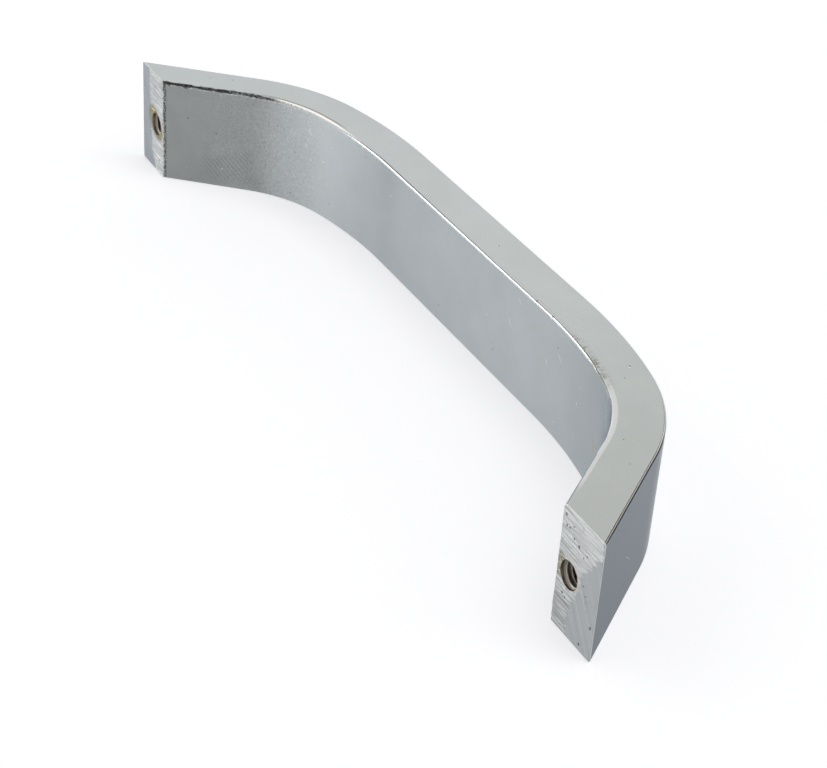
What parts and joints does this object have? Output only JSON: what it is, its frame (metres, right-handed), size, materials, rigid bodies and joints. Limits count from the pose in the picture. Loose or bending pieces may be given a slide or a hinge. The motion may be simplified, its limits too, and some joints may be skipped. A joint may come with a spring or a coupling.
{
  "type": "drawer handle",
  "caption": "Plated bow drawer handle: one rectangular bar bent over two legs that lean inward, with flat oblique feet and a blind tapped hole in each foot.",
  "frame": {"origin": "in the mounting plane, midway between the two screw holes and at the middle of the bar's width", "axes": "+X along the two screw holes, +Y into the furniture (out of the feet), +Z across the bar's width; the grip stands out towards -Y"},
  "size_m": [0.14, 0.0268, 0.0168],
  "materials": {
    "plated_metal": "bright plated bar with bare ground feet"
  },
  "bodies": {
    "root": {"handle": "plated_metal"}
  },
  "joints": []
}
